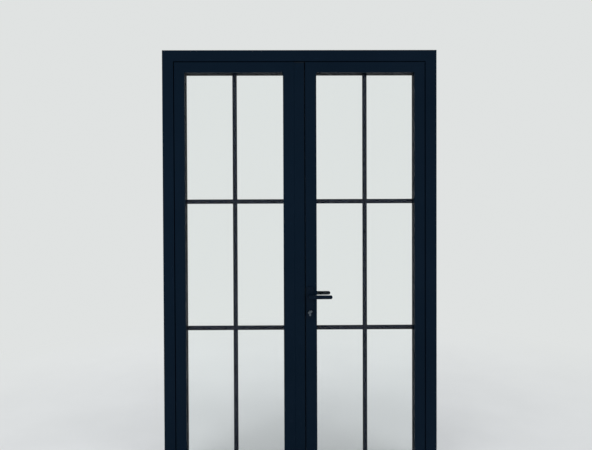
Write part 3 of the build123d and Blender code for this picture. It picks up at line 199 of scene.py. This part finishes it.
class Finish:
    """One node material, with short calls for the nodes that the finishes share."""

    def __init__(self, name):
        self.material = bpy.data.materials.new(name)
        self.material.use_nodes = True
        self.tree = self.material.node_tree
        self.shader = self.tree.nodes["Principled BSDF"]
        self.place = self.node("ShaderNodeTexCoord").outputs["Object"]

    def node(self, kind, **settings):
        made = self.tree.nodes.new(kind)
        for key, value in settings.items():
            setattr(made, key, value)
        return made

    def join(self, output, socket):
        self.tree.links.new(output, socket)

    def set(self, name, output):
        self.join(output, self.shader.inputs[name])

    def constants(self, **values):
        for key, value in values.items():
            self.shader.inputs[key.replace("_", " ")].default_value = value

    def stretched(self, scale):
        """Object coordinates, scaled differently along each axis."""
        mapping = self.node("ShaderNodeMapping")
        mapping.inputs["Scale"].default_value = scale
        self.join(self.place, mapping.inputs["Vector"])
        return mapping.outputs["Vector"]

    def noise(self, scale, detail=USUAL_DETAIL, rough=USUAL_ROUGHNESS, place=None):
        made = self.node("ShaderNodeTexNoise")
        made.inputs["Scale"].default_value = scale
        made.inputs["Detail"].default_value = detail
        made.inputs["Roughness"].default_value = rough
        self.join(place or self.place, made.inputs["Vector"])
        return made.outputs["Fac"]

    def span(self, value, low, high, source=NOISE_SPAN):
        """A value moved from its source span to the span low to high."""
        made = self.node("ShaderNodeMapRange")
        made.inputs["From Min"].default_value = source[0]
        made.inputs["From Max"].default_value = source[1]
        made.inputs["To Min"].default_value = low
        made.inputs["To Max"].default_value = high
        self.join(value, made.inputs["Value"])
        return made.outputs["Result"]

    def mix(self, factor, a, b):
        """A colour between a and b, each of which is a colour or an output."""
        made = self.node("ShaderNodeMix", data_type="RGBA")
        self.join(factor, made.inputs["Factor"])
        for place, value in ((FIRST_COLOUR, a), (SECOND_COLOUR, b)):
            if isinstance(value, tuple):
                made.inputs[place].default_value = (*value, 1.0)
            else:
                self.join(value, made.inputs[place])
        return made.outputs[MIXED_COLOUR]

    def times(self, a, b):
        made = self.node("ShaderNodeMath", operation="MULTIPLY")
        self.join(a, made.inputs[0])
        self.join(b, made.inputs[1])
        return made.outputs["Value"]

    def edges(self, radius):
        """Near 1 along sharp edges and 0 on flat faces."""
        bevel = self.node("ShaderNodeBevel", samples=EDGE_SAMPLES)
        bevel.inputs["Radius"].default_value = radius
        normal = self.node("ShaderNodeNewGeometry").outputs["Normal"]
        dot = self.node("ShaderNodeVectorMath", operation="DOT_PRODUCT")
        self.join(bevel.outputs["Normal"], dot.inputs[0])
        self.join(normal, dot.inputs[1])
        return self.span(dot.outputs["Value"], 1.0, 0.0, EDGE_SPAN)

    def bump(self, height, strength, depth, under=None):
        made = self.node("ShaderNodeBump")
        made.inputs["Strength"].default_value = strength
        made.inputs["Distance"].default_value = depth
        self.join(height, made.inputs["Height"])
        if under is not None:
            self.join(under, made.inputs["Normal"])
        return made.outputs["Normal"]


def coated(name, dark, pale, worn, roughness, specular):
    """Powder coat: a fine orange peel, soft patches, and a rubbed look along the edges."""
    finish = Finish(name)
    patches = finish.span(finish.noise(*PATCHES), 0.0, 1.0, PATCH_SPAN)
    specks = finish.span(finish.noise(*SPECKS), 0.0, SPECK_SHARE)
    ground = finish.mix(patches, dark, pale)
    ground = finish.mix(specks, ground, worn)
    rub = finish.times(finish.edges(RUBBED_RADIUS), finish.span(finish.noise(*RUBBING), *RUBBED_SHARE))
    finish.set("Base Color", finish.mix(rub, ground, worn))
    sheen = finish.span(finish.noise(*SHEEN), roughness - SHEEN_BELOW, roughness + SHEEN_ABOVE)
    finish.set("Roughness", sheen)
    peel = finish.bump(finish.noise(*PEEL), *PEEL_BUMP)
    finish.set("Normal", finish.bump(finish.noise(*SWELL), *SWELL_BUMP, peel))
    finish.constants(Specular_IOR_Level=specular)
    return finish.material


def brushed(name, dark, pale, roughness, stretch):
    """Bare metal with a fine brushing along one axis, and soft stains."""
    finish = Finish(name)
    lines = finish.noise(*BRUSHING, finish.stretched(stretch))
    stains = finish.noise(*STAINS)
    tone = finish.times(finish.span(lines, *BRUSHING_TONE), finish.span(stains, *STAIN_TONE))
    finish.set("Base Color", finish.mix(tone, dark, pale))
    finish.set("Roughness", finish.span(stains, roughness + STAIN_ABOVE, roughness - STAIN_BELOW))
    finish.set("Normal", finish.bump(lines, *BRUSHING_BUMP))
    finish.constants(Metallic=1.0)
    return finish.material


def moulded(name, dark, pale, roughness, grain):
    """Rubber and nylon: a matt skin with a fine grain and a little dust."""
    finish = Finish(name)
    dust = finish.span(finish.noise(*DUST), 0.0, 1.0, DUST_SPAN)
    finish.set("Base Color", finish.mix(dust, dark, pale))
    skin = finish.span(finish.noise(*SKIN), roughness - SKIN_CHANGE, roughness + SKIN_CHANGE)
    finish.set("Roughness", skin)
    finish.set("Normal", finish.bump(finish.noise(grain), *SKIN_BUMP))
    finish.constants(Specular_IOR_Level=SKIN_SPECULAR)
    return finish.material


def float_glass(name):
    """Clear float glass with a faint waviness and a breath of dust."""
    finish = Finish(name)
    waves = finish.noise(*WAVES, finish.stretched(WAVE_STRETCH))
    finish.set("Normal", finish.bump(waves, *WAVE_BUMP))
    finish.set("Roughness", finish.span(finish.noise(*HAZE), 0.0, HAZE_ROUGHNESS, HAZE_SPAN))
    smears = finish.span(finish.noise(*SMEARS), 0.0, SMEAR_SHARE, SMEAR_SPAN)
    finish.set("Base Color", finish.mix(smears, GLASS_TINT, GLASS_SMEAR))
    finish.constants(Transmission_Weight=1.0, IOR=GLASS_IOR)
    return finish.material


def seen_by_eye(tree):
    """1 for rays from the camera, in reflections and through glass, and 0 for light that falls."""
    path = tree.nodes.new("ShaderNodeLightPath")
    value = path.outputs["Is Camera Ray"]
    for name in ("Is Glossy Ray", "Is Transmission Ray"):
        larger = tree.nodes.new("ShaderNodeMath")
        larger.operation = "MAXIMUM"
        tree.links.new(value, larger.inputs[0])
        tree.links.new(path.outputs[name], larger.inputs[1])
        value = larger.outputs[0]
    return value


def choose_shader(tree, factor, first, second):
    """The first shader where the factor is 0, and the second where it is 1."""
    choose = tree.nodes.new("ShaderNodeMixShader")
    for socket, output in zip(choose.inputs, (factor, first, second)):
        tree.links.new(output, socket)
    return choose.outputs[0]


def floor_finish(name):
    """Pale floor with a barely visible mottle, which fades into the backdrop far out."""
    finish = Finish(name)
    mottle = finish.span(finish.noise(*MOTTLE), 0.0, 1.0)
    finish.set("Base Color", finish.mix(mottle, FLOOR_DARK, FLOOR_PALE))
    finish.set("Normal", finish.bump(finish.noise(*FLOOR_GRAIN), *FLOOR_BUMP))
    finish.constants(Roughness=FLOOR_ROUGHNESS, Specular_IOR_Level=FLOOR_SPECULAR)
    distance = finish.node("ShaderNodeVectorMath", operation="LENGTH")
    finish.join(finish.place, distance.inputs[0])
    far = finish.span(distance.outputs["Value"], 0.0, 1.0, FADE_SPAN)
    fade = finish.times(far, seen_by_eye(finish.tree))
    backdrop = finish.node("ShaderNodeEmission")
    backdrop.inputs["Color"].default_value = (*SKY, 1.0)
    surface = choose_shader(finish.tree, fade, finish.shader.outputs["BSDF"], backdrop.outputs["Emission"])
    finish.join(surface, finish.tree.nodes["Material Output"].inputs["Surface"])
    return finish.material


FINISHES = {
    "frame_paint": coated("navy_powder_coat", NAVY, NAVY_DUST, NAVY_WORN, roughness=0.48, specular=0.05),
    "bar_paint": coated("bar_powder_coat", BAR_DARK, BAR_PALE, BAR_PALE, roughness=0.55, specular=0.10),
    "black_lever": coated(
        "black_handle_coat", BLACK_COAT, BLACK_COAT, BLACK_COAT_WORN, roughness=0.40, specular=0.07
    ),
    # The outer lever: painted daylight, a lighter copy of the handle coat
    "painted_daylight": coated(
        "painted_daylight_handle_coat", PAINTED_DAYLIGHT_COAT, PAINTED_DAYLIGHT_WORN, PAINTED_DAYLIGHT_WORN, roughness=0.46, specular=0.12
    ),
    "satin_nickel": brushed("satin_nickel", NICKEL_DARK, NICKEL_PALE, roughness=0.34, stretch=ALONG_X),
    "bright_steel": brushed("brushed_steel", STEEL_DARK, STEEL_PALE, roughness=0.30, stretch=ALONG_Z),
    # The pieces in the gap: dark steel as painted shade, where their own metal is bright
    "gap_shade_steel": brushed("gap_shade_dark_steel", GAP_SHADE_STEEL_DARK, GAP_SHADE_STEEL_PALE, roughness=0.36, stretch=ALONG_Z),
    "mill_alloy": brushed("mill_finish_alloy", ALLOY_DARK, ALLOY_PALE, roughness=0.38, stretch=ALONG_Z),
    "spacer_alloy": moulded("black_spacer", SPACER_DARK, SPACER_PALE, roughness=0.55, grain=500.0),
    "black_rubber": moulded("black_rubber", RUBBER_DARK, RUBBER_PALE, roughness=0.72, grain=800.0),
    "black_nylon": moulded("black_nylon", NYLON_DARK, NYLON_PALE, roughness=0.50, grain=650.0),
    "clear_glass": float_glass("float_glass"),
}

SLOTS = {piece["node"]: piece["material_slot"] for piece in frame["record"]["subparts"]}

# Pieces at the leaves' edges, inside the gap between them, with a dark steel instead of their slot's bright
# metal: painted shade for the gap
DARKENED_FOR_GAP_SHADE = ("lock_faceplate", "lock_keep", "flush_bolt_bodies", "latch_bolt", "dead_bolt")
FINISH_OF = dict(SLOTS, **dict.fromkeys(DARKENED_FOR_GAP_SHADE, "gap_shade_steel"))

for node_name, node in frame["nodes"].items():
    node.data.materials.clear()
    node.data.materials.append(FINISHES[FINISH_OF[node_name]])


def linked(name, data):
    made = bpy.data.objects.new(name, data)
    bpy.context.scene.collection.objects.link(made)
    return made


# Screws with real heads


def loose_parts(mesh):
    """The vertex positions of each separate part of a mesh."""
    shape = bmesh.new()
    shape.from_mesh(mesh)
    bmesh.ops.remove_doubles(shape, verts=shape.verts, dist=WELD_DISTANCE)
    left = set(shape.verts)
    parts = []
    while left:
        stack = [left.pop()]
        found = []
        while stack:
            vert = stack.pop()
            found.append(vert.co.copy())
            near = {edge.other_vert(vert) for edge in vert.link_edges} & left
            left -= near
            stack += near
        parts.append(found)
    shape.free()
    return parts


def span_of(part, axis):
    values = [place[axis] for place in part]
    return min(values), max(values)


def across(place, axis):
    """A place without its value along the axis."""
    return [place[other] for other in range(3) if other != axis]


def screw_facts(part):
    """A screw's axis, its two ends, its centre line and the radius at each end."""
    spans = [span_of(part, axis) for axis in range(3)]
    sizes = [high - low for low, high in spans]
    axis = sizes.index(max(sizes))
    low, high = spans[axis]
    centre = Vector(sum(span) / 2 for span in spans)
    reach = []
    for end in (low, high):
        near = [place for place in part if abs(place[axis] - end) < SAME_DISTANCE]
        reach.append(max(math.dist(across(place, axis), across(centre, axis)) for place in near))
    return axis, low, high, centre, reach


def ring(shape, radius, height, placing):
    """A circle of vertices round the screw's axis."""
    made = []
    for index in range(SCREW_SIDES):
        angle = 2 * math.pi * (index + 0.5) / SCREW_SIDES
        place = Vector((radius * math.cos(angle), radius * math.sin(angle), height))
        made.append(shape.verts.new(placing @ place))
    return made


def plus_outline(reach, half):
    """The corners of a cross, anticlockwise from the right arm."""
    arm = [(reach, -half), (reach, half), (half, half)]
    corners = []
    for turn in range(CROSS_ARMS):
        spin = Matrix.Rotation(turn * 2 * math.pi / CROSS_ARMS, 2)
        corners += [spin @ Vector(corner) for corner in arm]
    return corners


def stitch(shape, lower, upper):
    """A band of faces between two loops of as many vertices."""
    for index in range(len(lower)):
        after = (index + 1) % len(lower)
        shape.faces.new((lower[index], lower[after], upper[after], upper[index]))


def fill_face(shape, outer, inner):
    """The flat face between the head's rim and the mouth of the cross."""
    edges = []
    for loop in (outer, inner):
        for index in range(len(loop)):
            pair = (loop[index], loop[(index + 1) % len(loop)])
            edges.append(shape.edges.get(pair) or shape.edges.new(pair))
    bmesh.ops.triangle_fill(shape, use_beauty=True, use_dissolve=False, edges=edges)


def head_faces_out(axis, low, high):
    """Which end of a straight screw is its head: the one nearer the gap between the leaves."""
    return axis == 0 and abs(high - MEETING_PLANE) < abs(low - MEETING_PLANE)


def add_screw(shape, facts):
    """One screw: shank, head and a cross recess with tapered walls."""
    axis, low, high, centre, reach = facts
    head_at_high = reach[1] >= reach[0]
    if abs(reach[1] - reach[0]) < SAME_DISTANCE:
        head_at_high = head_faces_out(axis, low, high)
    top, tip = (high, low) if head_at_high else (low, high)
    head = reach[1] if head_at_high else reach[0]
    shank = min(reach)
    centre = centre.copy()
    centre[axis] = top
    outward = Vector((0, 0, 0))
    outward[axis] = 1 if head_at_high else -1
    placing = Matrix.Translation(centre) @ outward.to_track_quat("Z", "Y").to_matrix().to_4x4()
    length = abs(top - tip)
    crown = head * HEAD_CROWN
    cone = max(head - shank, LEAST_CONE)
    tip_ring = ring(shape, shank, -length, placing)
    neck_ring = ring(shape, shank, -cone, placing)
    edge_ring = ring(shape, head, -crown, placing)
    rim_ring = ring(shape, head - crown, 0, placing)
    shape.faces.new(tip_ring[::-1])
    for lower, upper in ((tip_ring, neck_ring), (neck_ring, edge_ring), (edge_ring, rim_ring)):
        stitch(shape, lower, upper)
    arm = head * CROSS_REACH
    half = head * CROSS_HALF_WIDTH
    mouth = [shape.verts.new(placing @ Vector((*corner, 0))) for corner in plus_outline(arm, half)]
    deep = -head * CROSS_DEPTH
    inner = plus_outline(arm * CROSS_TAPER, half)
    recess = [shape.verts.new(placing @ Vector((*corner, deep))) for corner in inner]
    stitch(shape, mouth, recess)
    shape.faces.new(recess)
    fill_face(shape, rim_ring, mouth)


def real_screws(name, node_name, body, finish, wanted):
    """Screws with cross heads that stand for the plain ones of a node."""
    shape = bmesh.new()
    for part in loose_parts(frame["nodes"][node_name].data):
        facts = screw_facts(part)
        if wanted(facts):
            add_screw(shape, facts)
    bmesh.ops.recalc_face_normals(shape, faces=shape.faces)
    mesh = bpy.data.meshes.new(name)
    shape.to_mesh(mesh)
    shape.free()
    made = linked(name, mesh)
    mesh.materials.append(FINISHES[finish])
    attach(made, body)
    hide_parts(node_name)


def through_leaf(facts):
    """Whether a screw is a long one that holds both handle plates."""
    _, low, high, _, _ = facts
    return high - low > THROUGH_LENGTH


def short(facts):
    return not through_leaf(facts)


real_screws("frame_cross_heads", "frame_screws", "frame", "bright_steel", short)
real_screws("passive_cross_heads", "passive_screws", "passive_leaf", "bright_steel", short)
real_screws("active_cross_heads", "active_screws", "active_leaf", "bright_steel", short)
real_screws("handle_cross_heads", "active_screws", "active_leaf", "black_lever", through_leaf)


# Levers with a fuller grip


def full_lever(name, node_name, finish):
    """A lever whose grip is taller than the plain one's, and tapers a little towards its tip."""
    mesh = frame["nodes"][node_name].data.copy()
    mesh.name = name
    grip = [vert.co for vert in mesh.vertices if abs(vert.co.y) > GRIP_START]
    low, high = span_of(grip, 0)
    for place in grip:
        along = (place.x - low) / (high - low)
        fuller = GRIP_ROOT + (GRIP_TIP - GRIP_ROOT) * along
        place.z = LEVER_HEIGHT + (place.z - LEVER_HEIGHT) * fuller
    mesh.materials.clear()
    mesh.materials.append(FINISHES[finish])
    made = linked(name, mesh)
    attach(made, "lever")
    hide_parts(node_name)


full_lever("lever_inner_full", "lever_inner", "black_lever")
# The outer lever's coat is painted daylight
full_lever("lever_outer_full", "lever_outer", "painted_daylight")


# Floor, light and camera


def add_floor():
    """A wide round floor at the sill's underside."""
    shape = bmesh.new()
    bmesh.ops.create_circle(shape, cap_ends=True, segments=FLOOR_SIDES, radius=FLOOR_RADIUS)
    mesh = bpy.data.meshes.new("floor")
    shape.to_mesh(mesh)
    shape.free()
    mesh.materials.append(floor_finish("pale_floor"))
    floor = linked("floor", mesh)


def add_lamp(name, place, target, size, power):
    """A soft lamp that lights the object, but isn't seen in reflections or through the glass."""
    data = bpy.data.lights.new(name, "AREA")
    data.shape = "RECTANGLE"
    data.size, data.size_y = size
    data.energy = power
    lamp = linked(name, data)
    lamp.location = place
    direction = Vector(target) - Vector(place)
    lamp.rotation_euler = direction.to_track_quat("-Z", "Y").to_euler()
    lamp.visible_transmission = False
    lamp.visible_glossy = False


def background(tree, colour, strength):
    made = tree.nodes.new("ShaderNodeBackground")
    made.inputs["Color"].default_value = (*colour, 1.0)
    made.inputs["Strength"].default_value = strength
    return made.outputs[0]


def add_world():
    """Soft light from all round, and a pale backdrop where it is seen."""
    world = bpy.data.worlds.new("studio")
    bpy.context.scene.world = world
    world.use_nodes = True
    tree = world.node_tree
    tree.nodes.clear()
    output = tree.nodes.new("ShaderNodeOutputWorld")
    light = background(tree, WORLD_LIGHT, WORLD_STRENGTH)
    seen = background(tree, SKY, 1.0)
    tree.links.new(choose_shader(tree, seen_by_eye(tree), light, seen), output.inputs["Surface"])


def add_camera():
    data = bpy.data.cameras.new("photo_camera")
    data.sensor_width = SENSOR
    data.lens = LENS
    camera = linked("photo_camera", data)
    turn = Matrix.Rotation(math.radians(CAMERA_YAW), 3, "Z")
    turn = turn @ Matrix.Rotation(math.radians(CAMERA_PITCH), 3, "X")
    turn = turn @ Matrix.Rotation(math.radians(CAMERA_ROLL), 3, "Y")
    turn = turn @ Matrix.Rotation(math.radians(CAMERA_UPRIGHT), 3, "X")
    camera.matrix_world = Matrix.Translation(CAMERA_PLACE) @ turn.to_4x4()
    bpy.context.scene.camera = camera


add_floor()
add_lamp("front_left", place=(-2.6, -3.4, 1.9), target=(0, 0, 1.1), size=(2.6, 2.2), power=85.0)
add_lamp("front_right", place=(2.9, -3.0, 1.6), target=(0, 0, 1.1), size=(2.4, 2.4), power=55.0)
add_lamp("back_left", place=(2.4, 3.6, 3.2), target=(0, 0, 1.3), size=(3.2, 2.8), power=70.0)
add_lamp("back_right", place=(-2.8, 3.2, 2.4), target=(0, 0, 1.2), size=(3.0, 2.8), power=50.0)
add_world()
add_camera()

bpy.context.scene.view_settings.view_transform = "Standard"
